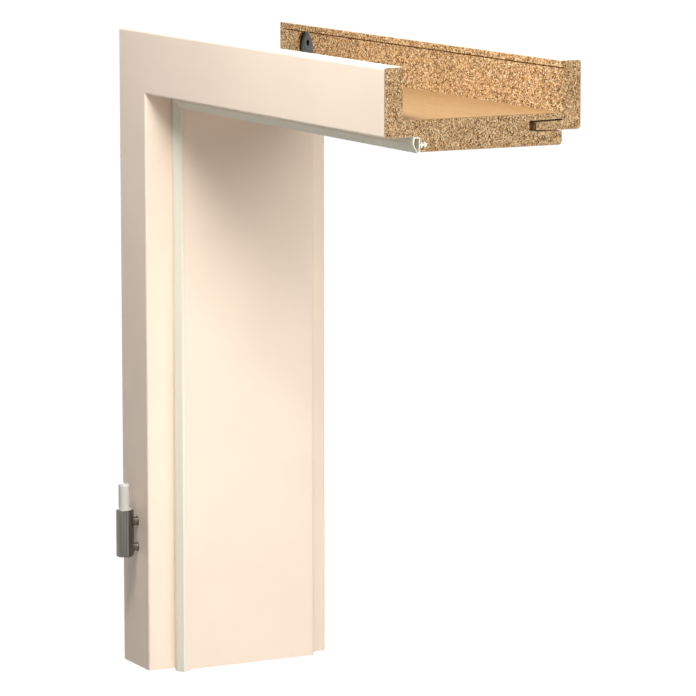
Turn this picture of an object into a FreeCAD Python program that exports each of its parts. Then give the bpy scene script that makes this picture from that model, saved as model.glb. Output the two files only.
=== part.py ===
import FreeCAD, Part
import math
import os

from FreeCAD import Vector

# Corner sample of a wrap-around interior door frame: a cut-off jamb and a cut-off head that
# meet in a mitre. Each board has one profile, drawn in the plane (u, y): u runs from the
# outer edge of the casings towards the doorway, y from the front face through the wall.
# The jamb is that profile drawn downwards and the head is its mirror image in the mitre.

# Casings and lining, in millimetres
CASING_W = 60.0
FRONT_T = 18.0
REAR_T = 18.0
LINING_T = 28.0
LINING_D = 156.2
STOP_H = 13.0
REBATE_D = 33.5
JAMB_H = 622.0
HEAD_L = 545.0

# Laminate, and the balancing foil on the wall side of the lining
SKIN_T = 0.6
FOIL_T = 0.6

# Rounded long edges
OUTER_R = 2.2
REBATE_R = 2.2
STOP_R = 1.2
LINING_R = 3.5
REAR_R = 3.2

# Tapered tongue of the rear casing and its groove in the lining
TONGUE_ROOT_T = 8.2
TONGUE_TAPER = 0.9
TONGUE_L = 26.0
TONGUE_GAP = 0.7
TONGUE_SLACK = 1.6
GROOVE_D = 32.6
REAR_GAP = 0.6

# Lip along the outer edge of the rear casing, and the kerf beside it
LIP_W = 6.0
LIP_H = 0.8
KERF_W = 1.1
KERF_D = 1.2

# Seal: a hollow chamber in front of the stop and a barbed anchor in its groove
SEAL_D = 6.6
SEAL_WALL = 0.8
SEAL_FLOOR_GAP = 0.2
SEAL_LIP = 0.7
SEAL_PROUD = 2.0
SEAL_FLANK = 5.9
SEAL_SHOULDER = 2.6
SEAL_NOSE_R = 1.4
SEAL_EDGE_R = 0.6
SEAL_BORE_R = 0.4
ANCHOR_L = 6.8
STEM_T = 1.4
BARB_REACH = 2.5
BARB_T = 0.9
BARB_COUNT = 2
BARB_LEAN = 0.4
BARB_FIRST = 1.3
SEAL_GROOVE_W = 5.4
SEAL_GROOVE_D = 7.4

# Hinge frame part on the jamb
HINGE_DOWN = 490.5
HINGE_BEHIND = 11.0
HINGE_OUT = 13.6
KNUCKLE_R = 8.1
KNUCKLE_L = 46.0
KNUCKLE_UP = 1.9
KNUCKLE_CHAMFER = 0.7
RIB_W = 6.5
RIB_GAP = 4.6
RIB_R = 1.2
PIN_R = 4.0
PIN_DEPTH = 34.0
PIN_UP = 22.0
PIN_CHAMFER = 0.8
SLEEVE_R = 5.5
SLEEVE_PLAY = 0.05
SLEEVE_END_GAP = 0.5
SLEEVE_L = 26.0
SLEEVE_DOME_R = 3.0
COLLAR_R = 7.2
COLLAR_T = 1.4
STUD_SPACING = 25.5
STUD_R = 4.0
STUD_RING_R = 4.4
STUD_NECK_R = 3.5
STUD_RING_L = 1.2
STUD_NECK_L = 0.6
STUD_IN_KNUCKLE = 4.0
STUD_PAD_R = 5.0
STUD_TIP_CHAMFER = 0.8
STUD_HOLE_PLAY = 0.3

# Receiver of the hinge behind the front casing, let into the lining, with its screws
RECEIVER_T = 24.0
RECESS_D = 3.0
RECESS_PLAY = 0.2
RECEIVER_D = 32.0
RECEIVER_H = 44.0
RECEIVER_EDGE_R = 2.0
SOCKET_PLAY = 0.1
SOCKET_D = 26.0
FLANGE_T = 3.0
FLANGE_L = 32.0
GRUB_R = 3.0
GRUB_ALONG = 15.6
GRUB_BACK = 0.6
GRUB_KEY = 3.0
GRUB_KEY_D = 2.0
SCREW_R = 2.1
SCREW_HEAD_R = 4.0
SCREW_L = 20.0
SCREW_SPACING = 24.0
SCREW_KEY = 3.2
SCREW_KEY_D = 1.2

# Eccentric connectors across the mitre of the front and of the rear casing
POCKET_R = 17.4
POCKET_D = 14.5
POCKET_SHARE = 0.63
POCKET_OFF = 20.5
HOUSING_GAP = 0.2
HOUSING_SINK = 2.4
HOUSING_RIM_W = 1.6
HOUSING_RIM_H = 0.6
BOLT_OFF = 4.2
BOLT_DOWN = 9.0
BOLT_R = 3.0
BOLT_PLAY = 0.3
BOLT_GRIP = 8.0
NECK_R = 1.8
HEAD_R = 2.6
HEAD_L_BOLT = 2.0
CAM_OFF = 24.6
CAM_R = 8.5
CAM_PLAY = 0.3
CAM_FLOOR = 1.2
CAM_STEP = 0.2
CAM_KEY = 6.0
CAM_KEY_D = 2.5
CAM_HUB_R = 2.7
CAM_RIM_R = 5.6
CAM_SLOT_START = -35.0
CAM_SLOT_SWEEP = 215.0

# Dowels across the mitre of the lining
DOWEL_R = 4.0
DOWEL_L = 26.0
DOWEL_CHAMFER = 0.8
DOWEL_COUNT = 3
DOWEL_FIRST = 42.0
DOWEL_LAST = 13.2

# Places that follow from the sizes above
LINING_FRONT = FRONT_T
LINING_BACK = LINING_FRONT + LINING_D
FACE_U = CASING_W + STOP_H
WALL_U = FACE_U - LINING_T
REAR_FRONT = LINING_BACK + REAR_GAP
REAR_BACK = REAR_FRONT + REAR_T
TONGUE_U = CASING_W - TONGUE_ROOT_T
GROOVE_MIDDLE = CASING_W - TONGUE_ROOT_T / 2
SEAL_U = CASING_W + STOP_H / 2
HINGE_Z = -HINGE_DOWN
HINGE_U = WALL_U - HINGE_BEHIND
KNUCKLE_LOW = HINGE_Z + KNUCKLE_UP - KNUCKLE_L / 2
KNUCKLE_TOP = KNUCKLE_LOW + KNUCKLE_L
POCKET_ALONG = POCKET_SHARE * CASING_W * math.sqrt(2)
BOLT_ALONG = POCKET_ALONG - BOLT_OFF
RECEIVER_U = WALL_U + RECESS_D - RECEIVER_T
DOWEL_PITCH = (LINING_D - GROOVE_D - DOWEL_FIRST - DOWEL_LAST) / (DOWEL_COUNT - 1)
ORIGIN = Vector(WALL_U, LINING_FRONT + LINING_D / 2, -JAMB_H / 2)
MITRE_NORMAL = Vector(1, 0, 1)
DOWN = Vector(0, 0, -1)
INTO_WALL = Vector(0, 1, 0)
ACROSS = Vector(1, 0, 0)
UP = Vector(0, 0, 1)
CENTRE = Vector(0, 0, 0)
SAME = 0.01


def rounded_wire(corners):
    """Closed wire in the plane (u, y) through corners (u, y, radius), arcs at the corners."""
    corners = [c for i, c in enumerate(corners) if c[:2] != corners[i - 1][:2]]
    points = [Vector(u, y, 0) for u, y, _ in corners]
    edges, starts, ends, arcs = [], [], [], []
    for i, here in enumerate(points):
        radius = corners[i][2]
        back = (points[i - 1] - here).normalize()
        ahead = (points[(i + 1) % len(points)] - here).normalize()
        if radius <= 0:
            starts.append(here)
            ends.append(here)
            arcs.append(None)
            continue
        half = back.getAngle(ahead) / 2
        reach = radius / math.tan(half)
        middle = here + (back + ahead).normalize() * (radius / math.sin(half) - radius)
        starts.append(here + back * reach)
        ends.append(here + ahead * reach)
        arcs.append(middle)
    for i in range(len(points)):
        if arcs[i] is not None:
            edges.append(Part.Arc(starts[i], arcs[i], ends[i]).toShape())
        edges.append(Part.LineSegment(ends[i], starts[(i + 1) % len(points)]).toShape())
    return Part.Wire(edges)


def board(corners, length, holes=()):
    """Jamb board: the profile drawn down from the corner and cut off along the mitre."""
    outer = Part.Face(rounded_wire(corners))
    solid = outer.extrude(DOWN * length)
    for hole in holes:
        solid = solid.cut(Part.Face(rounded_wire(hole)).extrude(DOWN * length))
    reach = CASING_W + FACE_U
    far, below = Vector(reach, 0, 0), Vector(reach, 0, -reach)
    triangle = Part.Face(Part.makePolygon([CENTRE, far, below, CENTRE]))
    return solid.cut(triangle.extrude(INTO_WALL * REAR_BACK))


def across_mitre(shape):
    """Mirror image in the mitre plane: what the head has where the jamb has the shape."""
    return shape.mirror(CENTRE, MITRE_NORMAL)


def front_profile(inset):
    """Front casing; inset moves its three laminated sides inwards."""
    return [
        (inset, inset, OUTER_R - inset),
        (CASING_W - inset, inset, REBATE_R - inset),
        (CASING_W - inset, FRONT_T, 0),
        (inset, FRONT_T, 0),
    ]


def lining_profile(inset, wall_u):
    """Lining board with its rebate; inset moves the laminated sides inwards."""
    return [
        (wall_u, LINING_FRONT, 0),
        (CASING_W - inset, LINING_FRONT, 0),
        (CASING_W - inset, REBATE_D + inset, 0),
        (FACE_U - inset, REBATE_D + inset, STOP_R - inset),
        (FACE_U - inset, LINING_BACK - inset, LINING_R - inset),
        (GROOVE_MIDDLE, LINING_BACK - inset, 0),
        (GROOVE_MIDDLE, LINING_BACK, 0),
        (wall_u, LINING_BACK, 0),
    ]


def tongue_groove():
    """Groove in the rear edge of the lining that takes the tongue, wider at its mouth."""
    low, high = TONGUE_U - TONGUE_SLACK, CASING_W + TONGUE_GAP
    bottom_y, mouth_y = LINING_BACK - GROOVE_D, LINING_BACK + SKIN_T
    return [
        (low + TONGUE_TAPER, bottom_y, 0),
        (high - TONGUE_TAPER, bottom_y, 0),
        (high, mouth_y, 0),
        (low, mouth_y, 0),
    ]


def seal_groove():
    """Groove in the stop that takes the anchor of the seal."""
    low, high = SEAL_U - SEAL_GROOVE_W / 2, SEAL_U + SEAL_GROOVE_W / 2
    return [
        (low, REBATE_D - SKIN_T, 0),
        (high, REBATE_D - SKIN_T, 0),
        (high, REBATE_D + SEAL_GROOVE_D, 0),
        (low, REBATE_D + SEAL_GROOVE_D, 0),
    ]


def rear_profile(inset):
    """Rear casing without its tongue, with the lip and the kerf on its wall side."""
    kerf_u = LIP_W + KERF_W
    return [
        (inset, REAR_FRONT - LIP_H, 0),
        (LIP_W, REAR_FRONT - LIP_H, 0),
        (LIP_W, REAR_FRONT + KERF_D, 0),
        (kerf_u, REAR_FRONT + KERF_D, 0),
        (kerf_u, REAR_FRONT, 0),
        (CASING_W - inset, REAR_FRONT, 0),
        (CASING_W - inset, REAR_BACK - inset, REAR_R - inset),
        (inset, REAR_BACK - inset, REAR_R - inset),
    ]


def rear_core_profile():
    """Core of the rear casing, one piece with its tongue."""
    tongue_tip = REAR_FRONT - TONGUE_L
    corners = rear_profile(SKIN_T)
    tongue = [
        (TONGUE_U, REAR_FRONT, 0),
        (TONGUE_U + TONGUE_TAPER, tongue_tip, 0),
        (CASING_W - TONGUE_TAPER, tongue_tip, 0),
        (CASING_W, REAR_FRONT, 0),
    ]
    return corners[:5] + tongue + corners[5:]


def seal_profile():
    """Outside of the seal: bulb with its nose at mid height, and the barbed anchor."""
    floor_u = CASING_W + SEAL_FLOOR_GAP
    face_u = FACE_U + SEAL_LIP
    half_stem = STEM_T / 2
    pitch = ANCHOR_L / BARB_COUNT
    corners = [
        (floor_u, REBATE_D - SEAL_FLANK, SEAL_EDGE_R),
        (SEAL_U, REBATE_D - SEAL_D, SEAL_NOSE_R),
        (face_u, REBATE_D - SEAL_SHOULDER, SEAL_EDGE_R),
        (face_u, REBATE_D, 0),
    ]
    stem = [(half_stem, REBATE_D)]
    for i in range(BARB_COUNT):
        root_y = REBATE_D + BARB_FIRST + i * pitch
        stem += [
            (half_stem, root_y),
            (BARB_REACH, root_y - BARB_LEAN),
            (BARB_REACH, root_y - BARB_LEAN + BARB_T),
            (half_stem, root_y + 2 * BARB_T),
        ]
    stem.append((half_stem, REBATE_D + ANCHOR_L))
    corners += [(SEAL_U + reach, y, 0) for reach, y in stem]
    corners += [(SEAL_U - reach, y, 0) for reach, y in reversed(stem)]
    return corners + [(floor_u, REBATE_D, 0)]


def seal_chamber():
    """Hollow inside the seal, one wall thickness from its outside."""
    floor_u = CASING_W + SEAL_FLOOR_GAP + SEAL_WALL
    face_u = FACE_U + SEAL_LIP - SEAL_WALL
    back_y = REBATE_D - SEAL_WALL
    return [
        (floor_u, REBATE_D - SEAL_FLANK + SEAL_WALL, SEAL_BORE_R),
        (SEAL_U, REBATE_D - SEAL_D + SEAL_WALL, SEAL_EDGE_R),
        (face_u, REBATE_D - SEAL_SHOULDER + SEAL_WALL / 2, SEAL_BORE_R),
        (face_u, back_y, SEAL_BORE_R),
        (floor_u, back_y, SEAL_BORE_R),
    ]


def cylinder(radius, length, base, direction):
    """Cylinder from base along direction."""
    return Part.makeCylinder(radius, length, base, direction)


def turned(outline, base, direction):
    """Solid of revolution: outline (radius, distance) turned about direction from base."""
    points = [Vector(r, 0, d) for r, d in outline]
    face = Part.Face(Part.makePolygon(points + [points[0]]))
    solid = face.revolve(CENTRE, UP, 360)
    solid.Placement = FreeCAD.Placement(base, FreeCAD.Rotation(UP, direction))
    return solid


def hex_key(across_flats, depth, base, direction):
    """Hexagon socket cut from base along direction."""
    corner_r = across_flats / math.sqrt(3)
    turns = [math.radians(60 * i) for i in range(7)]
    corners = [Vector(corner_r * math.cos(turn), corner_r * math.sin(turn), 0) for turn in turns]
    prism = Part.Face(Part.makePolygon(corners)).extrude(UP * depth)
    prism.Placement = FreeCAD.Placement(base, FreeCAD.Rotation(UP, direction))
    return prism


def stud_heights():
    """Heights of the two hinge studs."""
    return [HINGE_Z + STUD_SPACING / 2, HINGE_Z - STUD_SPACING / 2]


def stud_holes():
    """Holes through the front casing for the studs."""
    radius = STUD_RING_R + STUD_HOLE_PLAY
    starts = [Vector(HINGE_U, -FRONT_T, z) for z in stud_heights()]
    return Part.makeCompound([cylinder(radius, 3 * FRONT_T, start, INTO_WALL) for start in starts])


def receiver_recess():
    """Routed recess in the lining's wall side, in which the receiver's flange lies flush."""
    reach = RECEIVER_D + FLANGE_L + RECESS_PLAY
    height = RECEIVER_H + 2 * RECESS_PLAY
    corner = Vector(WALL_U - SAME, LINING_FRONT - SAME, HINGE_Z - height / 2)
    block = Part.makeBox(RECESS_D + SAME, reach + SAME, height, corner)
    far_edges = [
        edge for edge in block.Edges
        if abs(edge.CenterOfMass.y - corner.y - reach - SAME) < SAME / 2
        and abs(edge.CenterOfMass.x - corner.x - (RECESS_D + SAME) / 2) < SAME / 2
    ]
    return block.makeFillet(2 * RECEIVER_EDGE_R + RECESS_PLAY, far_edges)


def receiver_screw_places():
    """Where the fixing screws start, on the outside of the receiver's flange."""
    start_u = WALL_U + RECESS_D - FLANGE_T
    y = LINING_FRONT + RECEIVER_D + FLANGE_L / 2
    return [Vector(start_u, y, HINGE_Z + side * SCREW_SPACING / 2) for side in (1, -1)]


def fixing_screw(start):
    """Countersunk screw: head flush with start, driven towards the doorway."""
    head_t = SCREW_HEAD_R - SCREW_R
    outline = [
        (0, 0),
        (SCREW_HEAD_R, 0),
        (SCREW_R, head_t),
        (SCREW_R, SCREW_L - SCREW_R),
        (0, SCREW_L),
    ]
    return turned(outline, start, ACROSS)


def receiver_screws():
    """Both fixing screws, without their drive sockets."""
    return Part.makeCompound([fixing_screw(start) for start in receiver_screw_places()])


def hinge_knuckle():
    """Knuckle with the rib that holds the studs, bored for the pin."""
    base = Vector(HINGE_U, -HINGE_OUT, KNUCKLE_LOW)
    chamfer = KNUCKLE_CHAMFER
    outline = [
        (0, 0),
        (KNUCKLE_R - chamfer, 0),
        (KNUCKLE_R, chamfer),
        (KNUCKLE_R, KNUCKLE_L - chamfer),
        (KNUCKLE_R - chamfer, KNUCKLE_L),
        (0, KNUCKLE_L),
    ]
    barrel = turned(outline, base, UP)
    rib_d = HINGE_OUT - RIB_GAP
    rib = Part.makeBox(RIB_W, rib_d, KNUCKLE_L - 2 * chamfer, base + Vector(-RIB_W / 2, 0, chamfer))
    rear_edges = [
        edge for edge in rib.Edges
        if abs(edge.CenterOfMass.y + RIB_GAP) < SAME and edge.Length > RIB_W + SAME
    ]
    rib = rib.makeFillet(RIB_R, rear_edges)
    pads = [
        cylinder(STUD_PAD_R, rib_d, Vector(HINGE_U, -HINGE_OUT, z), INTO_WALL)
        for z in stud_heights()
    ]
    body = barrel.fuse([rib] + pads).removeSplitter()
    top = base + Vector(0, 0, KNUCKLE_L)
    body = body.cut(cylinder(PIN_R, PIN_DEPTH, top, DOWN))
    for z in stud_heights():
        start = Vector(HINGE_U, -RIB_GAP, z)
        body = body.cut(cylinder(STUD_R, STUD_IN_KNUCKLE, start, -INTO_WALL))
    return body


def hinge_pin():
    """Pin pressed into the knuckle; the sleeve turns on its free end."""
    length = PIN_DEPTH + PIN_UP
    outline = [
        (0, 0),
        (PIN_R, 0),
        (PIN_R, length - PIN_CHAMFER),
        (PIN_R - PIN_CHAMFER, length),
        (0, length),
    ]
    return turned(outline, Vector(HINGE_U, -HINGE_OUT, KNUCKLE_TOP - PIN_DEPTH), UP)


def hinge_sleeve():
    """Plastic sleeve with a collar below and a domed, closed top."""
    base = Vector(HINGE_U, -HINGE_OUT, KNUCKLE_TOP)
    body = cylinder(SLEEVE_R, SLEEVE_L, base, UP)
    top_z = base.z + SLEEVE_L
    rim = [edge for edge in body.Edges if abs(edge.CenterOfMass.z - top_z) < SAME and edge.Closed]
    body = body.makeFillet(SLEEVE_DOME_R, rim)
    body = body.fuse(cylinder(COLLAR_R, COLLAR_T, base, UP))
    return body.cut(cylinder(PIN_R + SLEEVE_PLAY, PIN_UP + SLEEVE_END_GAP, base, UP))


def hinge_stud(z):
    """Stud with a ring at each end of its visible stretch, reaching into the receiver."""
    seen = RIB_GAP
    ring, neck = STUD_RING_L, STUD_NECK_L
    length = seen + FRONT_T + SOCKET_D
    outline = [
        (0, -STUD_IN_KNUCKLE),
        (STUD_R, -STUD_IN_KNUCKLE),
        (STUD_R, 0),
        (STUD_RING_R, 0),
        (STUD_RING_R, ring),
        (STUD_NECK_R, ring),
        (STUD_NECK_R, ring + neck),
        (STUD_R, ring + neck),
        (STUD_R, seen - ring - neck),
        (STUD_NECK_R, seen - ring - neck),
        (STUD_NECK_R, seen - ring),
        (STUD_RING_R, seen - ring),
        (STUD_RING_R, seen + ring),
        (STUD_R, seen + ring),
        (STUD_R, length - STUD_TIP_CHAMFER),
        (STUD_R - STUD_TIP_CHAMFER, length),
        (0, length),
    ]
    return turned(outline, Vector(HINGE_U, -RIB_GAP, z), INTO_WALL)


def grub_length():
    """Length of a clamp screw, from the receiver's outside to the stud."""
    return HINGE_U - STUD_R - RECEIVER_U - GRUB_BACK


def grub_places():
    """Where the clamp screws start, in line with the studs."""
    return [
        Vector(RECEIVER_U + GRUB_BACK, LINING_FRONT + GRUB_ALONG, z)
        for z in stud_heights()
    ]


def clamp_screws():
    """Two socket screws that clamp the studs."""
    screws = []
    for start in grub_places():
        screw = cylinder(GRUB_R, grub_length(), start, ACROSS)
        screws.append(screw.cut(hex_key(GRUB_KEY, GRUB_KEY_D, start, ACROSS)))
    return Part.makeCompound(screws)


def hinge_receiver():
    """Block behind the casing with a socket for each stud, screwed to the lining."""
    corner = Vector(RECEIVER_U, LINING_FRONT, HINGE_Z - RECEIVER_H / 2)
    block = Part.makeBox(RECEIVER_T, RECEIVER_D, RECEIVER_H, corner)
    edges = [
        edge for edge in block.Edges
        if abs(edge.CenterOfMass.x - corner.x) < SAME and edge.Length < RECEIVER_H - SAME
    ]
    block = block.makeFillet(RECEIVER_EDGE_R, edges)
    flange_start = corner + Vector(RECEIVER_T - FLANGE_T, RECEIVER_D, 0)
    flange = Part.makeBox(FLANGE_T, FLANGE_L, RECEIVER_H, flange_start)
    flange_end = flange_start.y + FLANGE_L
    corners = [
        edge for edge in flange.Edges
        if abs(edge.CenterOfMass.y - flange_end) < SAME and edge.Length < FLANGE_T + SAME
    ]
    flange = flange.makeFillet(RECEIVER_EDGE_R * 2, corners)
    body = block.fuse(flange).removeSplitter()
    socket_d = SOCKET_D + 2 * SOCKET_PLAY
    for z in stud_heights():
        mouth = Vector(HINGE_U, LINING_FRONT, z)
        body = body.cut(cylinder(STUD_R + SOCKET_PLAY, socket_d, mouth, INTO_WALL))
    for start in grub_places():
        body = body.cut(cylinder(GRUB_R, RECEIVER_T / 2, start - ACROSS * 2 * GRUB_BACK, ACROSS))
    return body.cut(receiver_screws())


def key_socket(start):
    """Drive socket of a fixing screw."""
    return hex_key(SCREW_KEY, SCREW_KEY_D, start, ACROSS)


def connector_place(shape):
    """Moves a connector piece from its own axes to the rear casing's mitre.

    In its own axes a piece has X across the mitre towards the head, Y into the board and
    Z along the mitre towards the outer corner; the origin lies on the wall-side face.
    """
    placed = shape.copy()
    mitre_axes = FreeCAD.Rotation(INTO_WALL, -45)
    placed.Placement = FreeCAD.Placement(Vector(0, REAR_FRONT, 0), mitre_axes).multiply(shape.Placement)
    return placed


def on_front(shape):
    """The same piece in the front casing, which the wall side mirrors."""
    middle = (FRONT_T + REAR_FRONT) / 2
    return shape.mirror(Vector(0, middle, 0), INTO_WALL)


def pocket(side):
    """Round pocket on one side of the mitre: side 1 is the head's, side -1 the jamb's."""
    base = Vector(side * POCKET_OFF, -2 * LIP_H, -POCKET_ALONG)
    return cylinder(POCKET_R, POCKET_D + 2 * LIP_H, base, INTO_WALL)


def bolt_tunnel():
    """Hole for the draw bolt between the two pockets."""
    start = Vector(-POCKET_OFF, BOLT_DOWN, -BOLT_ALONG)
    return cylinder(BOLT_R + BOLT_PLAY, 2 * POCKET_OFF, start, ACROSS)


def connector_cuts():
    """All that the connector removes from the mitred boards."""
    return connector_place(pocket(1).fuse(bolt_tunnel()).fuse(pocket(-1)))


def blank_housing(side):
    """Round housing sunk into its pocket, with a low rim round its face."""
    base = Vector(side * POCKET_OFF, HOUSING_SINK, -POCKET_ALONG)
    radius = POCKET_R - HOUSING_GAP
    body = cylinder(radius, POCKET_D - HOUSING_SINK, base, INTO_WALL)
    return body.cut(cylinder(radius - HOUSING_RIM_W, HOUSING_RIM_H, base, INTO_WALL))


def cam_housing():
    """Head-side housing: bored for the cam and the bolt."""
    cam_axis = Vector(CAM_OFF, 0, -BOLT_ALONG)
    bore = cylinder(CAM_R + CAM_PLAY, POCKET_D - CAM_FLOOR, cam_axis, INTO_WALL)
    tunnel_start = Vector(0, BOLT_DOWN, -BOLT_ALONG)
    return blank_housing(1).cut(bore).cut(cylinder(BOLT_R + BOLT_PLAY, CAM_OFF, tunnel_start, ACROSS))


def anchor_housing():
    """Jamb-side housing: the draw bolt is screwed into it."""
    start = Vector(0, BOLT_DOWN, -BOLT_ALONG)
    return blank_housing(-1).cut(cylinder(BOLT_R, bolt_reach(), start, -ACROSS))


def bolt_reach():
    """How far the bolt goes past the mitre into the jamb-side housing."""
    return POCKET_OFF + BOLT_GRIP


def draw_bolt():
    """Bolt across the mitre; its necked head sits in the cam."""
    head_end = CAM_OFF - CAM_HUB_R - CAM_PLAY
    head_start = head_end - HEAD_L_BOLT
    shank_end = CAM_OFF - CAM_R - CAM_PLAY - BOLT_PLAY
    reach = bolt_reach()
    outline = [
        (0, 0),
        (BOLT_R, 0),
        (BOLT_R, reach + shank_end),
        (NECK_R, reach + shank_end),
        (NECK_R, reach + head_start),
        (HEAD_R, reach + head_start),
        (HEAD_R, reach + head_end),
        (0, reach + head_end),
    ]
    return turned(outline, Vector(-reach, BOLT_DOWN, -BOLT_ALONG), ACROSS)


def cam():
    """Eccentric cam: hexagon socket, ring-shaped undercut and a slot for the bolt's neck."""
    top = HOUSING_SINK + HOUSING_RIM_H + CAM_STEP
    bottom = POCKET_D - CAM_FLOOR - CAM_PLAY
    axis = Vector(CAM_OFF, 0, -BOLT_ALONG)
    body = cylinder(CAM_R, bottom - top, axis + INTO_WALL * top, INTO_WALL)
    under_half = HEAD_R + CAM_PLAY
    slot_half = NECK_R + CAM_PLAY
    ring = cylinder(CAM_RIM_R, 2 * under_half, axis + INTO_WALL * (BOLT_DOWN - under_half), INTO_WALL)
    ring = ring.cut(cylinder(CAM_HUB_R, POCKET_D, axis, INTO_WALL))
    slot_base = axis + INTO_WALL * (BOLT_DOWN - slot_half)
    slot = Part.makeCylinder(CAM_R + CAM_PLAY, 2 * slot_half, CENTRE, UP, CAM_SLOT_SWEEP)
    start_turn = FreeCAD.Rotation(UP, 180 + CAM_SLOT_START)
    upright = FreeCAD.Rotation(ACROSS, -90)
    slot.Placement = FreeCAD.Placement(slot_base, upright.multiply(start_turn))
    slot = slot.cut(cylinder(CAM_HUB_R, POCKET_D, axis, INTO_WALL))
    body = body.cut(ring).cut(slot)
    return body.cut(hex_key(CAM_KEY, CAM_KEY_D, axis + INTO_WALL * top, INTO_WALL))


def lining_dowels():
    """Dowels across the mitre, at mid thickness of the lining."""
    middle = (WALL_U + FACE_U) / 2
    direction = Vector(1, 0, 1).normalize()
    outline = [
        (0, 0),
        (DOWEL_R - DOWEL_CHAMFER, 0),
        (DOWEL_R, DOWEL_CHAMFER),
        (DOWEL_R, DOWEL_L - DOWEL_CHAMFER),
        (DOWEL_R - DOWEL_CHAMFER, DOWEL_L),
        (0, DOWEL_L),
    ]
    dowels = []
    for i in range(DOWEL_COUNT):
        centre = Vector(middle, LINING_FRONT + DOWEL_FIRST + i * DOWEL_PITCH, -middle)
        dowels.append(turned(outline, centre - direction * (DOWEL_L / 2), direction))
    return Part.makeCompound(dowels)


def boards():
    """Cores, laminate skins, foils and seals, the jamb's and the head's."""
    rear_cuts = connector_cuts()
    front_cuts = on_front(rear_cuts)
    dowels = lining_dowels()
    groove_pair = [seal_groove(), tongue_groove()]
    made = {}
    for name, length in (("jamb", JAMB_H), ("head", HEAD_L)):
        front_core = board(front_profile(SKIN_T), length).cut(front_cuts)
        front_skin = board(front_profile(0), length).cut(board(front_profile(SKIN_T), length))
        lining_core = board(lining_profile(SKIN_T, WALL_U + FOIL_T), length, groove_pair).cut(dowels)
        whole_lining = board(lining_profile(0, WALL_U), length, groove_pair)
        foil = board(
            [
                (WALL_U, LINING_FRONT, 0),
                (WALL_U + FOIL_T, LINING_FRONT, 0),
                (WALL_U + FOIL_T, LINING_BACK, 0),
                (WALL_U, LINING_BACK, 0),
            ],
            length,
        )
        lining_skin = whole_lining.cut(board(lining_profile(SKIN_T, WALL_U), length))
        rear_core = board(rear_core_profile(), length).cut(rear_cuts)
        rear_skin = board(rear_profile(0), length).cut(board(rear_profile(SKIN_T), length))
        seal = board(seal_profile(), length + SEAL_PROUD, [seal_chamber()])
        if name == "jamb":
            holes = stud_holes()
            recess = receiver_recess()
            front_core = front_core.cut(holes)
            front_skin = front_skin.cut(holes)
            lining_core = lining_core.cut(recess).cut(receiver_screws())
            foil = foil.cut(recess)
        made[name + "_front_casing"] = front_core
        made[name + "_front_laminate"] = front_skin
        made[name + "_lining"] = lining_core
        made[name + "_lining_laminate"] = lining_skin
        made[name + "_wall_foil"] = foil
        made[name + "_rear_casing"] = rear_core
        made[name + "_rear_laminate"] = rear_skin
        made[name + "_seal"] = seal
    return {
        name: across_mitre(shape) if name.startswith("head") else shape
        for name, shape in made.items()
    }


def hinge():
    """The frame part of the hinge and its receiver."""
    upper, lower = stud_heights()
    screws = receiver_screws()
    for start in receiver_screw_places():
        screws = screws.cut(key_socket(start))
    return {
        "hinge_knuckle": hinge_knuckle(),
        "hinge_pin": hinge_pin(),
        "hinge_sleeve": hinge_sleeve(),
        "hinge_stud_upper": hinge_stud(upper),
        "hinge_stud_lower": hinge_stud(lower),
        "hinge_receiver": hinge_receiver(),
        "receiver_screws": screws,
        "clamp_screws": clamp_screws(),
    }


def connectors():
    """Eccentric connectors of the rear casing, and their mirror images in the front one."""
    rear = {
        "cam_housing": connector_place(cam_housing()),
        "cam": connector_place(cam()),
        "draw_bolt": connector_place(draw_bolt()),
        "anchor_housing": connector_place(anchor_housing()),
    }
    made = {}
    for name, shape in rear.items():
        made["rear_" + name] = shape
        made["front_" + name] = on_front(shape)
    return made


def main():
    """Builds every piece and writes one STEP file for each."""
    os.makedirs("parts", exist_ok=True)
    pieces = boards()
    pieces.update(hinge())
    pieces.update(connectors())
    pieces["lining_dowels"] = lining_dowels()
    for name, shape in pieces.items():
        placed = shape.copy()
        placed.translate(-ORIGIN)
        solids = placed.Solids
        result = solids[0] if len(solids) == 1 else Part.makeCompound(solids)
        result.exportStep(os.path.join("parts", name + ".step"))
        print(name, "solids", len(solids), "volume", round(result.Volume, 1), "valid", result.isValid())


main()
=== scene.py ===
"""Looks, light and camera for the cut-away corner of an interior door frame."""

import logging
import math
from dataclasses import dataclass
from enum import Enum

import bpy
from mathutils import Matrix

LOG = logging.getLogger("door_frame")

Colour = tuple[float, float, float]
Point = tuple[float, float, float]
Socket = bpy.types.NodeSocket
Feed = Socket | float | Colour
Stops = list[tuple[float, Colour]]
Span = tuple[float, float]

WHITE: Colour = (1.0, 1.0, 1.0)
MM_PER_M = 1000.0
SOFT_OCTAVES = 2.0
PLAIN_OCTAVES = 3.0
FINE_OCTAVES = 4.0
NARROW_SPAN: Span = (0.35, 0.65)
WIDE_SPAN: Span = (0.3, 0.7)


def shade(colour: Colour, factor: float) -> Colour:
    """Make a colour darker or lighter.

    Args:
        colour: Linear colour.
        factor: Factor on each channel.

    Returns:
        The new colour, 1 at most on each channel.
    """
    red, green, blue = (min(1.0, channel * factor) for channel in colour)
    return red, green, blue


class BoardRun(Enum):
    """Direction along which a board runs, and across which it is sawn off."""

    JAMB = (0.0, 0.0, 1.0)
    HEAD = (1.0, 0.0, 0.0)


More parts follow.
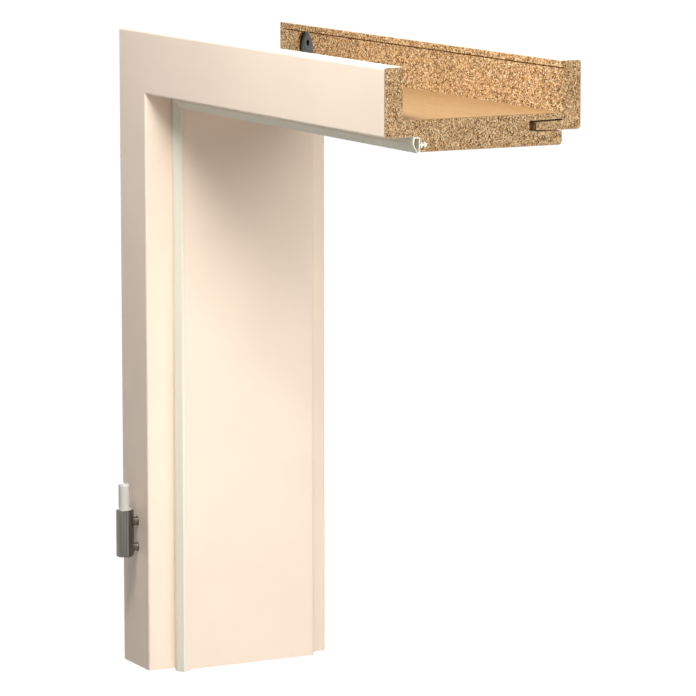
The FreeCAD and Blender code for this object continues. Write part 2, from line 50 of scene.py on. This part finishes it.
class NodeGraph:
    """Nodes of one material, joined by handing sockets from step to step."""

    def __init__(self, name: str) -> None:
        """Start a material that holds only a shader and its output.

        Args:
            name: Name of the new material.
        """
        self.material = bpy.data.materials.new(name)
        self.material.use_nodes = True
        self.tree = self.material.node_tree
        self.tree.nodes.clear()
        self.shader = self.add("ShaderNodeBsdfPrincipled")
        self.add("ShaderNodeOutputMaterial", {"Surface": self.shader.outputs["BSDF"]})

    def feed(self, socket: Socket, value: Feed) -> None:
        """Link an input or set its value.

        Args:
            socket: The input.
            value: Another socket to link, or a number, vector or colour to set.
        """
        if isinstance(value, bpy.types.NodeSocket):
            self.tree.links.new(value, socket)
        elif socket.type == "RGBA":
            socket.default_value = (*value, 1.0)
        else:
            socket.default_value = value

    def add(
        self, kind: str, inputs: dict[str, Feed] | None = None, **settings: object
    ) -> bpy.types.Node:
        """Add a node.

        Args:
            kind: Blender's type name of the node.
            inputs: What feeds its named inputs.
            **settings: Attributes of the node, set as given.

        Returns:
            The new node.
        """
        node = self.tree.nodes.new(kind)
        for name, value in settings.items():
            setattr(node, name, value)
        for name, value in (inputs or {}).items():
            self.feed(node.inputs[name], value)
        return node

    def space(self, size_mm: Point, turn_deg: Point = (0.0, 0.0, 0.0)) -> Socket:
        """Coordinates on the object in which a cell of a pattern is one unit long.

        Args:
            size_mm: Size of a cell along its own three axes.
            turn_deg: Turn of those axes.

        Returns:
            The coordinates.
        """
        place = self.add("ShaderNodeTexCoord")
        mapping = self.add(
            "ShaderNodeMapping",
            {
                "Vector": place.outputs["Object"],
                "Rotation": [math.radians(turn) for turn in turn_deg],
                "Scale": [size / MM_PER_M for size in size_mm],
            },
            vector_type="TEXTURE",
        )
        return mapping.outputs["Vector"]

    def noise(self, size_mm: Point, octaves: float) -> Socket:
        """Noise of clouds that hold finer clouds.

        Args:
            size_mm: Size of a cloud along x, y and z.
            octaves: How many times finer clouds are added.

        Returns:
            Its value, around one half.
        """
        node = self.add(
            "ShaderNodeTexNoise",
            {"Vector": self.space(size_mm), "Scale": 1.0, "Detail": octaves},
        )
        return node.outputs["Fac"]

    def ramp(self, value: Socket, stops: Stops) -> Socket:
        """Colour ramp on a value.

        Args:
            value: The value.
            stops: Places from 0 to 1, each with its colour.

        Returns:
            The colour.
        """
        node = self.add("ShaderNodeValToRGB", {"Fac": value})
        elements = node.color_ramp.elements
        while len(elements) < len(stops):
            elements.new(0.5)
        for element, (place, colour) in zip(elements, stops):
            element.position = place
            element.color = (*colour, 1.0)
        return node.outputs["Color"]

    def fade(self, value: Socket, low: Colour, high: Colour, span: Span) -> Socket:
        """Fade from one colour to another.

        Args:
            value: The value that is followed.
            low: Colour up to the start of the span.
            high: Colour from the end of the span.
            span: Values between which the colour changes.

        Returns:
            The colour.
        """
        start, end = span
        return self.ramp(value, [(start, low), (end, high)])

    def blend(self, first: Feed, second: Feed, share: Feed = 1.0, mode: str = "MIX") -> Socket:
        """Mix two colours.

        Args:
            first: First colour.
            second: Second colour.
            share: Share of the second colour.
            mode: Blend type.

        Returns:
            The mixed colour.
        """
        node = self.add("ShaderNodeMix", data_type="RGBA", blend_type=mode)
        sockets = {socket.identifier: socket for socket in node.inputs}
        self.feed(sockets["Factor_Float"], share)
        self.feed(sockets["A_Color"], first)
        self.feed(sockets["B_Color"], second)
        return next(s for s in node.outputs if s.identifier == "Result_Color")

    def maths(self, operation: str, first: Feed, second: Feed = 0.0) -> Socket:
        """Calculate with one or two values.

        Args:
            operation: Blender's name of the operation.
            first: First value.
            second: Second value.

        Returns:
            The result.
        """
        node = self.add("ShaderNodeMath", operation=operation)
        self.feed(node.inputs[0], first)
        self.feed(node.inputs[1], second)
        return node.outputs["Value"]

    def tint_sawn(self, colour: Feed, tint: Colour, run: BoardRun) -> Socket:
        """Tint the faces that look along a board, where the saw went through.

        Args:
            colour: Colour of all faces.
            tint: Colour that multiplies it on the sawn faces.
            run: Direction of the board.

        Returns:
            The new colour.
        """
        place = self.add("ShaderNodeTexCoord")
        along = self.add("ShaderNodeVectorMath", operation="DOT_PRODUCT")
        self.feed(along.inputs[0], place.outputs["Normal"])
        self.feed(along.inputs[1], run.value)
        share = self.maths("ABSOLUTE", along.outputs["Value"])
        return self.blend(colour, tint, share, "MULTIPLY")

    def bump(self, height: Socket, height_mm: float, strength: float) -> None:
        """Give the surface a relief.

        Args:
            height: Height as a value.
            height_mm: Height of a full step.
            strength: Strength from 0 to 1.
        """
        node = self.add(
            "ShaderNodeBump",
            {"Height": height, "Distance": height_mm / MM_PER_M, "Strength": strength},
        )
        self.feed(self.shader.inputs["Normal"], node.outputs["Normal"])

    def finish(self, colour: Feed, roughness: Feed, **inputs: Feed) -> bpy.types.Material:
        """Set what the shader shows.

        Args:
            colour: Base colour.
            roughness: Roughness.
            **inputs: Other inputs of the shader, with underscores for spaces.

        Returns:
            The finished material.
        """
        self.feed(self.shader.inputs["Base Color"], colour)
        self.feed(self.shader.inputs["Roughness"], roughness)
        for name, value in inputs.items():
            self.feed(self.shader.inputs[name.replace("_", " ")], value)
        return self.material


@dataclass(frozen=True)
class Laminate:
    """Cream laminate with a faint pearl structure and a brown core at its sawn edge."""

    run: BoardRun
    colour: Colour = (0.915, 0.757, 0.612)
    sawn_tint: Colour = (0.42, 0.36, 0.30)
    roughness: float = 0.45
    cloud_size_mm: Point = (80.0, 80.0, 80.0)
    cloud_spread: float = 0.02
    pearl_size_mm: Point = (0.6, 0.6, 0.6)
    pearl_height_mm: float = 0.02
    pearl_strength: float = 0.25

    def material(self) -> bpy.types.Material:
        """Build the material.

        Returns:
            The laminate material.
        """
        graph = NodeGraph("cream_laminate_" + self.run.name.lower())
        cloud = graph.noise(self.cloud_size_mm, SOFT_OCTAVES)
        low = shade(self.colour, 1.0 - self.cloud_spread)
        high = shade(self.colour, 1.0 + self.cloud_spread)
        pearl = graph.noise(self.pearl_size_mm, SOFT_OCTAVES)
        graph.bump(pearl, self.pearl_height_mm, self.pearl_strength)
        face = graph.fade(cloud, low, high, NARROW_SPAN)
        return graph.finish(graph.tint_sawn(face, self.sawn_tint, self.run), self.roughness)


@dataclass(frozen=True)
class ChipLayer:
    """Chips that lie one way, over a share of the board."""

    size_mm: Point
    turn_deg: Point
    cover: float


@dataclass(frozen=True)
class Particleboard:
    """Raw particleboard: pressed chips from dark bark to pale sapwood, with small pores."""

    run: BoardRun
    dark: Colour = (0.035, 0.014, 0.005)
    brown: Colour = (0.19, 0.090, 0.034)
    tan: Colour = (0.475, 0.264, 0.107)
    pale: Colour = (0.76, 0.485, 0.224)
    cream: Colour = (1.0, 0.83, 0.54)
    sawn_tint: Colour = (0.755, 0.75, 0.75)
    tone_places: tuple[float, ...] = (0.0, 0.13, 0.38, 0.70, 1.0)
    pore: Colour = (0.25, 0.18, 0.13)
    pore_span: Span = (0.34, 0.44)
    grain_size_mm: Point = (1.0, 1.0, 1.0)
    relief_mm: float = 0.3
    relief_strength: float = 0.6
    roughness: float = 0.85
    specular: float = 0.25
    layers: tuple[ChipLayer, ...] = (
        ChipLayer((2.5, 1.0, 1.6), (0.0, 20.0, 0.0), 1.0),
        ChipLayer((2.7, 0.8, 1.0), (8.0, 75.0, 0.0), 0.5),
        ChipLayer((2.3, 0.9, 1.0), (-6.0, 135.0, 0.0), 0.45),
        ChipLayer((1.6, 0.8, 0.9), (0.0, 0.0, 0.0), 0.4),
    )

    def material(self) -> bpy.types.Material:
        """Build the material.

        Returns:
            The particleboard material.
        """
        graph = NodeGraph("particleboard_" + self.run.name.lower())
        colour: Feed = self.tan
        height: Feed = 0.0
        for layer in self.layers:
            tone, place = self.chips(graph, layer)
            lies_here = graph.maths("LESS_THAN", place, layer.cover)
            colour = graph.blend(colour, tone, lies_here)
            height = graph.maths("ADD", height, graph.maths("MULTIPLY", place, lies_here))
        grain = graph.noise(self.grain_size_mm, PLAIN_OCTAVES)
        pores = graph.fade(grain, self.pore, WHITE, self.pore_span)
        colour = graph.blend(colour, pores, 1.0, "MULTIPLY")
        colour = graph.tint_sawn(colour, self.sawn_tint, self.run)
        graph.bump(graph.maths("ADD", height, grain), self.relief_mm, self.relief_strength)
        return graph.finish(colour, self.roughness, Specular_IOR_Level=self.specular)

    def chips(self, graph: NodeGraph, layer: ChipLayer) -> tuple[Socket, Socket]:
        """Chips of one layer, each with a tone of its own.

        Args:
            graph: Material under work.
            layer: The layer.

        Returns:
            The chips' colour, and a second random value of each chip.
        """
        cells = graph.add(
            "ShaderNodeTexVoronoi",
            {"Vector": graph.space(layer.size_mm, layer.turn_deg), "Scale": 1.0},
        )
        values = graph.add("ShaderNodeSeparateColor", {"Color": cells.outputs["Color"]})
        tones = (self.dark, self.brown, self.tan, self.pale, self.cream)
        stops = list(zip(self.tone_places, tones))
        return graph.ramp(values.outputs["Red"], stops), values.outputs["Green"]


@dataclass(frozen=True)
class WallFoil:
    """Smooth wood-toned foil with faint streaks and short pores along the board."""

    run: BoardRun
    low: Colour = (0.345, 0.198, 0.081)
    high: Colour = (0.425, 0.257, 0.110)
    streak_size_mm: tuple[float, float] = (45.0, 2.8)
    pore_size_mm: tuple[float, float] = (7.0, 0.9)
    pore_tint: Colour = (0.86, 0.83, 0.78)
    pore_span: Span = (0.38, 0.5)
    relief_mm: float = 0.05
    relief_strength: float = 0.3
    roughness: float = 0.7
    specular: float = 0.3

    def material(self) -> bpy.types.Material:
        """Build the material.

        Returns:
            The foil material.
        """
        graph = NodeGraph("wall_foil_" + self.run.name.lower())
        streaks = graph.noise(self.along_board(*self.streak_size_mm), FINE_OCTAVES)
        pores = graph.noise(self.along_board(*self.pore_size_mm), SOFT_OCTAVES)
        tone = graph.fade(streaks, self.low, self.high, WIDE_SPAN)
        marks = graph.fade(pores, self.pore_tint, WHITE, self.pore_span)
        tone = graph.blend(tone, marks, 1.0, "MULTIPLY")
        graph.bump(pores, self.relief_mm, self.relief_strength)
        return graph.finish(tone, self.roughness, Specular_IOR_Level=self.specular)

    def along_board(self, length_mm: float, width_mm: float) -> Point:
        """Size of a mark that lies along the board.

        Args:
            length_mm: Its length.
            width_mm: Its width.

        Returns:
            The size along x, y and z.
        """
        x, y, z = (length_mm if along else width_mm for along in self.run.value)
        return x, y, z


@dataclass(frozen=True)
class SoftSeal:
    """Seal of soft pale plastic."""

    colour: Colour = (0.86, 0.825, 0.69)
    low_share: float = 0.96
    grain_size_mm: Point = (1.2, 1.2, 1.2)
    relief_mm: float = 0.02
    relief_strength: float = 0.2
    roughness: float = 0.5

    def material(self) -> bpy.types.Material:
        """Build the material.

        Returns:
            The seal material.
        """
        graph = NodeGraph("soft_seal")
        grain = graph.noise(self.grain_size_mm, SOFT_OCTAVES)
        graph.bump(grain, self.relief_mm, self.relief_strength)
        tone = graph.fade(grain, shade(self.colour, self.low_share), self.colour, WIDE_SPAN)
        return graph.finish(tone, self.roughness)


@dataclass(frozen=True)
class MattMetal:
    """Metal with a fine blasted, drawn or cast surface."""

    name: str
    colour: Colour
    roughness: float
    grain_height_mm: float = 0.02
    spread: float = 0.12
    grain_size_mm: Point = (0.7, 0.7, 0.7)
    grain_strength: float = 0.4

    def material(self) -> bpy.types.Material:
        """Build the material.

        Returns:
            The metal material.
        """
        graph = NodeGraph(self.name)
        grain = graph.noise(self.grain_size_mm, FINE_OCTAVES)
        graph.bump(grain, self.grain_height_mm, self.grain_strength)
        low, high = shade(self.colour, 1.0 - self.spread), shade(self.colour, 1.0 + self.spread)
        tone = graph.fade(grain, low, high, NARROW_SPAN)
        return graph.finish(tone, self.roughness, Metallic=1.0)


@dataclass(frozen=True)
class SleevePlastic:
    """White plastic of the hinge sleeve."""

    colour: Colour = (0.62, 0.585, 0.53)
    low_share: float = 0.97
    grain_size_mm: Point = (2.0, 2.0, 2.0)
    roughness: float = 0.32

    def material(self) -> bpy.types.Material:
        """Build the material.

        Returns:
            The sleeve material.
        """
        graph = NodeGraph("sleeve_plastic")
        grain = graph.noise(self.grain_size_mm, SOFT_OCTAVES)
        tone = graph.fade(grain, shade(self.colour, self.low_share), self.colour, WIDE_SPAN)
        return graph.finish(tone, self.roughness)


@dataclass(frozen=True)
class DowelWood:
    """Beech dowel with grain along it."""

    low: Colour = (0.50, 0.32, 0.17)
    high: Colour = (0.66, 0.45, 0.26)
    grain_size_mm: Point = (3.0, 0.8, 3.0)
    roughness: float = 0.7

    def material(self) -> bpy.types.Material:
        """Build the material.

        Returns:
            The dowel material.
        """
        graph = NodeGraph("dowel_wood")
        grain = graph.noise(self.grain_size_mm, PLAIN_OCTAVES)
        tone = graph.fade(grain, self.low, self.high, WIDE_SPAN)
        return graph.finish(tone, self.roughness)


def dress(node: str, material: bpy.types.Material) -> None:
    """Put a material into every slot of a node.

    Args:
        node: Name of the node.
        material: Material for it.
    """
    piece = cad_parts[node]
    if not piece.material_slots:
        piece.data.materials.append(material)
    for slot in piece.material_slots:
        slot.material = material
    LOG.info("dressed %s with %s", node, material.name)


@dataclass
class Boards:
    """Casings and linings of the jamb and the head, with their laminate, foil and seals."""

    seal: SoftSeal

    def dress_all(self) -> None:
        """Dress every board and what is on it."""
        seal = self.seal.material()
        for run in BoardRun:
            side = run.name.lower()
            core = Particleboard(run).material()
            laminate = Laminate(run).material()
            for part in ("front_casing", "lining", "rear_casing"):
                dress(f"{side}_{part}", core)
            for part in ("front_laminate", "lining_laminate", "rear_laminate"):
                dress(f"{side}_{part}", laminate)
            dress(f"{side}_wall_foil", WallFoil(run).material())
            dress(f"{side}_seal", seal)
        dress("lining_dowels", DowelWood().material())


@dataclass
class Hinge:
    """Frame part of the hinge with its receiver and screws."""

    nickel: MattMetal
    steel: MattMetal
    sleeve: SleevePlastic

    def dress_all(self) -> None:
        """Dress the hinge."""
        nickel = self.nickel.material()
        steel = self.steel.material()
        dress("hinge_knuckle", nickel)
        dress("hinge_receiver", nickel)
        for node in ("hinge_pin", "hinge_stud_upper", "hinge_stud_lower"):
            dress(node, steel)
        dress("receiver_screws", steel)
        dress("clamp_screws", steel)
        dress("hinge_sleeve", self.sleeve.material())


@dataclass
class Connectors:
    """Mitre connectors of the rear and the front casing."""

    zinc: MattMetal
    bolt: MattMetal

    def dress_all(self) -> None:
        """Dress both connectors."""
        zinc = self.zinc.material()
        bolt = self.bolt.material()
        for side in ("rear", "front"):
            dress(f"{side}_cam_housing", zinc)
            dress(f"{side}_anchor_housing", zinc)
            dress(f"{side}_cam", zinc)
            dress(f"{side}_draw_bolt", bolt)


@dataclass(frozen=True)
class Softbox:
    """Square area light that looks at the aim of the studio from a distance."""

    name: str
    turn_deg: float
    rise_deg: float
    distance: float
    side: float
    power: float

    def place(self, aim: Point) -> None:
        """Add the light.

        Args:
            aim: Point it looks at.
        """
        data = bpy.data.lights.new(self.name, "AREA")
        data.shape = "SQUARE"
        data.size = self.side
        data.energy = self.power
        lamp = bpy.data.objects.new(self.name, data)
        bpy.context.scene.collection.objects.link(lamp)
        turn, rise = math.radians(self.turn_deg), math.radians(self.rise_deg)
        flat = self.distance * math.cos(rise)
        lamp.location = (
            aim[0] + flat * math.cos(turn),
            aim[1] - flat * math.sin(turn),
            aim[2] + self.distance * math.sin(rise),
        )
        lamp.rotation_euler = (math.radians(90.0 - self.rise_deg), 0.0, math.pi / 2 - turn)


@dataclass
class Studio:
    """White surroundings, soft lights, floor and camera."""

    softboxes: tuple[Softbox, ...]
    aim: Point = (0.2, 0.0, 0.12)
    fill: float = 0.06
    fill_colour: Colour = (1.0, 0.91, 0.83)
    floor_z: float = -0.75
    floor_side: float = 60.0
    floor_colour: Colour = (0.8, 0.8, 0.8)
    floor_white: float = 0.94
    floor_glow: float = 1.09
    camera_at: Point = (3.4519, -1.6657, 0.5814)
    yaw_deg: float = 62.521
    pitch_deg: float = 8.659
    lens_mm: float = 205.38
    sensor_mm: float = 36.0
    farthest: float = 100.0

    def build(self) -> None:
        """Make the world, the lights, the floor and the camera."""
        self.world()
        for box in self.softboxes:
            box.place(self.aim)
        self.floor()
        self.camera()

    def world(self) -> None:
        """White where it is seen or mirrored, a soft fill for the rest."""
        world = bpy.data.worlds.new("studio")
        bpy.context.scene.world = world
        world.use_nodes = True
        tree = world.node_tree
        tree.nodes.clear()
        white = tree.nodes.new("ShaderNodeBackground")
        fill = tree.nodes.new("ShaderNodeBackground")
        white.inputs["Color"].default_value = (*WHITE, 1.0)
        fill.inputs["Color"].default_value = (*self.fill_colour, 1.0)
        fill.inputs["Strength"].default_value = self.fill
        output = tree.nodes.new("ShaderNodeOutputWorld")
        self.show_white(tree, fill, white, output)

    def floor(self) -> None:
        """Pale floor below the sample; it looks white and keeps a soft shadow."""
        mesh = bpy.data.meshes.new("floor")
        half = self.floor_side / 2
        corners = [(-half, -half), (half, -half), (half, half), (-half, half)]
        mesh.from_pydata([(x, y, self.floor_z) for x, y in corners], [], [(0, 1, 2, 3)])
        floor = bpy.data.objects.new("floor", mesh)
        bpy.context.scene.collection.objects.link(floor)
        material = bpy.data.materials.new("floor_white")
        material.use_nodes = True
        tree = material.node_tree
        tree.nodes.clear()
        matt = tree.nodes.new("ShaderNodeBsdfDiffuse")
        matt.inputs["Color"].default_value = (*self.floor_colour, 1.0)
        glow = tree.nodes.new("ShaderNodeEmission")
        glow.inputs["Strength"].default_value = self.floor_glow
        output = tree.nodes.new("ShaderNodeOutputMaterial")
        self.show_white(tree, matt, glow, output, self.floor_white)
        mesh.materials.append(material)

    def show_white(
        self,
        tree: bpy.types.NodeTree,
        base: bpy.types.Node,
        white: bpy.types.Node,
        output: bpy.types.Node,
        share: float = 1.0,
    ) -> None:
        """Show white to the camera, in mirrors and through glass, and the base to the rest.

        Args:
            tree: Nodes of the world or the floor.
            base: What lights the object.
            white: What is seen.
            output: Output node.
            share: Share of the white in what is seen.
        """
        rays = tree.nodes.new("ShaderNodeLightPath")
        seen = rays.outputs["Is Camera Ray"]
        for name in ("Is Glossy Ray", "Is Transmission Ray"):
            either = tree.nodes.new("ShaderNodeMath")
            either.operation = "MAXIMUM"
            tree.links.new(seen, either.inputs[0])
            tree.links.new(rays.outputs[name], either.inputs[1])
            seen = either.outputs[0]
        part = tree.nodes.new("ShaderNodeMath")
        part.operation = "MULTIPLY"
        part.inputs[1].default_value = share
        tree.links.new(seen, part.inputs[0])
        mix = tree.nodes.new("ShaderNodeMixShader")
        tree.links.new(part.outputs[0], mix.inputs["Fac"])
        tree.links.new(base.outputs[0], mix.inputs[1])
        tree.links.new(white.outputs[0], mix.inputs[2])
        tree.links.new(mix.outputs[0], output.inputs["Surface"])

    def camera(self) -> None:
        """Camera at the photograph's place."""
        data = bpy.data.cameras.new("camera")
        data.sensor_width = self.sensor_mm
        data.lens = self.lens_mm
        data.clip_end = self.farthest
        camera = bpy.data.objects.new("camera", data)
        bpy.context.scene.collection.objects.link(camera)
        camera.location = self.camera_at
        tilt = math.radians(90.0 - self.pitch_deg)
        camera.rotation_euler = (tilt, 0.0, math.radians(self.yaw_deg))
        bpy.context.scene.camera = camera


SOFTBOXES = (
    Softbox("key", turn_deg=57.0, rise_deg=58.5, distance=1.05, side=0.44, power=13.6),
    Softbox("right", turn_deg=5.0, rise_deg=20.0, distance=2.3, side=1.0, power=26.0),
    Softbox("rear_right", turn_deg=-30.0, rise_deg=32.0, distance=2.3, side=1.4, power=25.0),
    Softbox("rear_left", turn_deg=-155.0, rise_deg=1.0, distance=2.3, side=1.2, power=14.0),
)
DRAWN_NICKEL = MattMetal(
    "drawn_nickel",
    colour=(0.170, 0.167, 0.147),
    roughness=0.16,
    grain_height_mm=0.01,
    spread=0.22,
    grain_size_mm=(1.6, 1.6, 60.0),
)
BRIGHT_STEEL = MattMetal("bright_steel", colour=(0.30, 0.27, 0.24), roughness=0.28)
CAST_ZINC = MattMetal(
    "cast_zinc",
    colour=(0.095, 0.095, 0.090),
    roughness=0.28,
    grain_height_mm=0.06,
    spread=0.45,
)
BOLT_STEEL = MattMetal("bolt_steel", colour=(0.30, 0.28, 0.26), roughness=0.3)


def main() -> None:
    """Dress the frame, light it and set the camera."""
    logging.basicConfig(level=logging.INFO, format="%(name)s: %(message)s")
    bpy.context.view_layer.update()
    Boards(SoftSeal()).dress_all()
    Hinge(DRAWN_NICKEL, BRIGHT_STEEL, SleevePlastic()).dress_all()
    Connectors(CAST_ZINC, BOLT_STEEL).dress_all()
    Studio(SOFTBOXES).build()
    bpy.context.scene.view_settings.view_transform = "Standard"


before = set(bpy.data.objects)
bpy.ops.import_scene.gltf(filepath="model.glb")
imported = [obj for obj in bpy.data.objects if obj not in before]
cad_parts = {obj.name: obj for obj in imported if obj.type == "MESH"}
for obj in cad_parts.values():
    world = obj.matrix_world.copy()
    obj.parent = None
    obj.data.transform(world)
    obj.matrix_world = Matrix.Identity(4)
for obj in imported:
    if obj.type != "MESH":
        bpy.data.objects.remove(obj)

if __name__ == "__main__":
    main()
